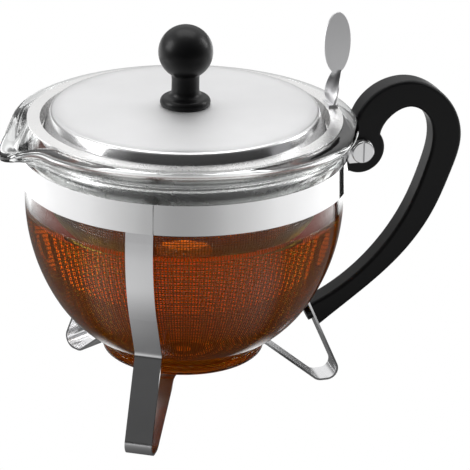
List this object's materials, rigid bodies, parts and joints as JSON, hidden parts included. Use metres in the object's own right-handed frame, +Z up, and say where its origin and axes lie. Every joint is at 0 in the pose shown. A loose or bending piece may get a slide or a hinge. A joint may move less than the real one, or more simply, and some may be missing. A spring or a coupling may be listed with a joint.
{
  "type": "glass teapot",
  "caption": "Round glass teapot in a polished strip-steel stand with a black side handle, a lift-out mesh tea filter with an upright tab, and a lift-off steel lid with a ball knob.",
  "frame": {"origin": "on the table, under the bowl's axis", "axes": "+Z up, +X towards the handle, so the spout points along -X"},
  "size_m": [0.2172, 0.158, 0.181],
  "materials": {
    "jug_glass": "clear, polished",
    "steel_bright": "polished",
    "leg_steel": "polished",
    "screw_steel": "turned and polished",
    "black_screw": "black",
    "filter_steel": "satin",
    "mesh_steel": "woven wire",
    "tab_steel": "polished",
    "lid_steel": "polished",
    "handle_plastic": "satin black",
    "knob_plastic": "semi-gloss black"
  },
  "bodies": {
    "pot": {"glass_jug": "jug_glass", "band_front": "steel_bright", "band_rear": "steel_bright", "leg_handle": "leg_steel", "leg_front": "leg_steel", "leg_left": "leg_steel", "base_ring": "leg_steel", "handle": "handle_plastic", "clamp_screw": "screw_steel", "clamp_nut": "screw_steel", "handle_screw": "black_screw"},
    "filter": {"filter_collar": "filter_steel", "filter_mesh": "mesh_steel", "filter_hem": "filter_steel", "filter_tab": "tab_steel"},
    "lid": {"lid_shell": "lid_steel", "knob": "knob_plastic", "knob_washer": "screw_steel", "knob_screw": "screw_steel"}
  },
  "joints": [
    {"name": "filter_lift", "type": "slide", "parent": "pot", "child": "filter", "axis": [0, 0, 1], "range_m": [0, 0.13]},
    {"name": "lid_lift", "type": "slide", "parent": "filter", "child": "lid", "axis": [0, 0, 1], "range_m": [0, 0.06]}
  ]
}
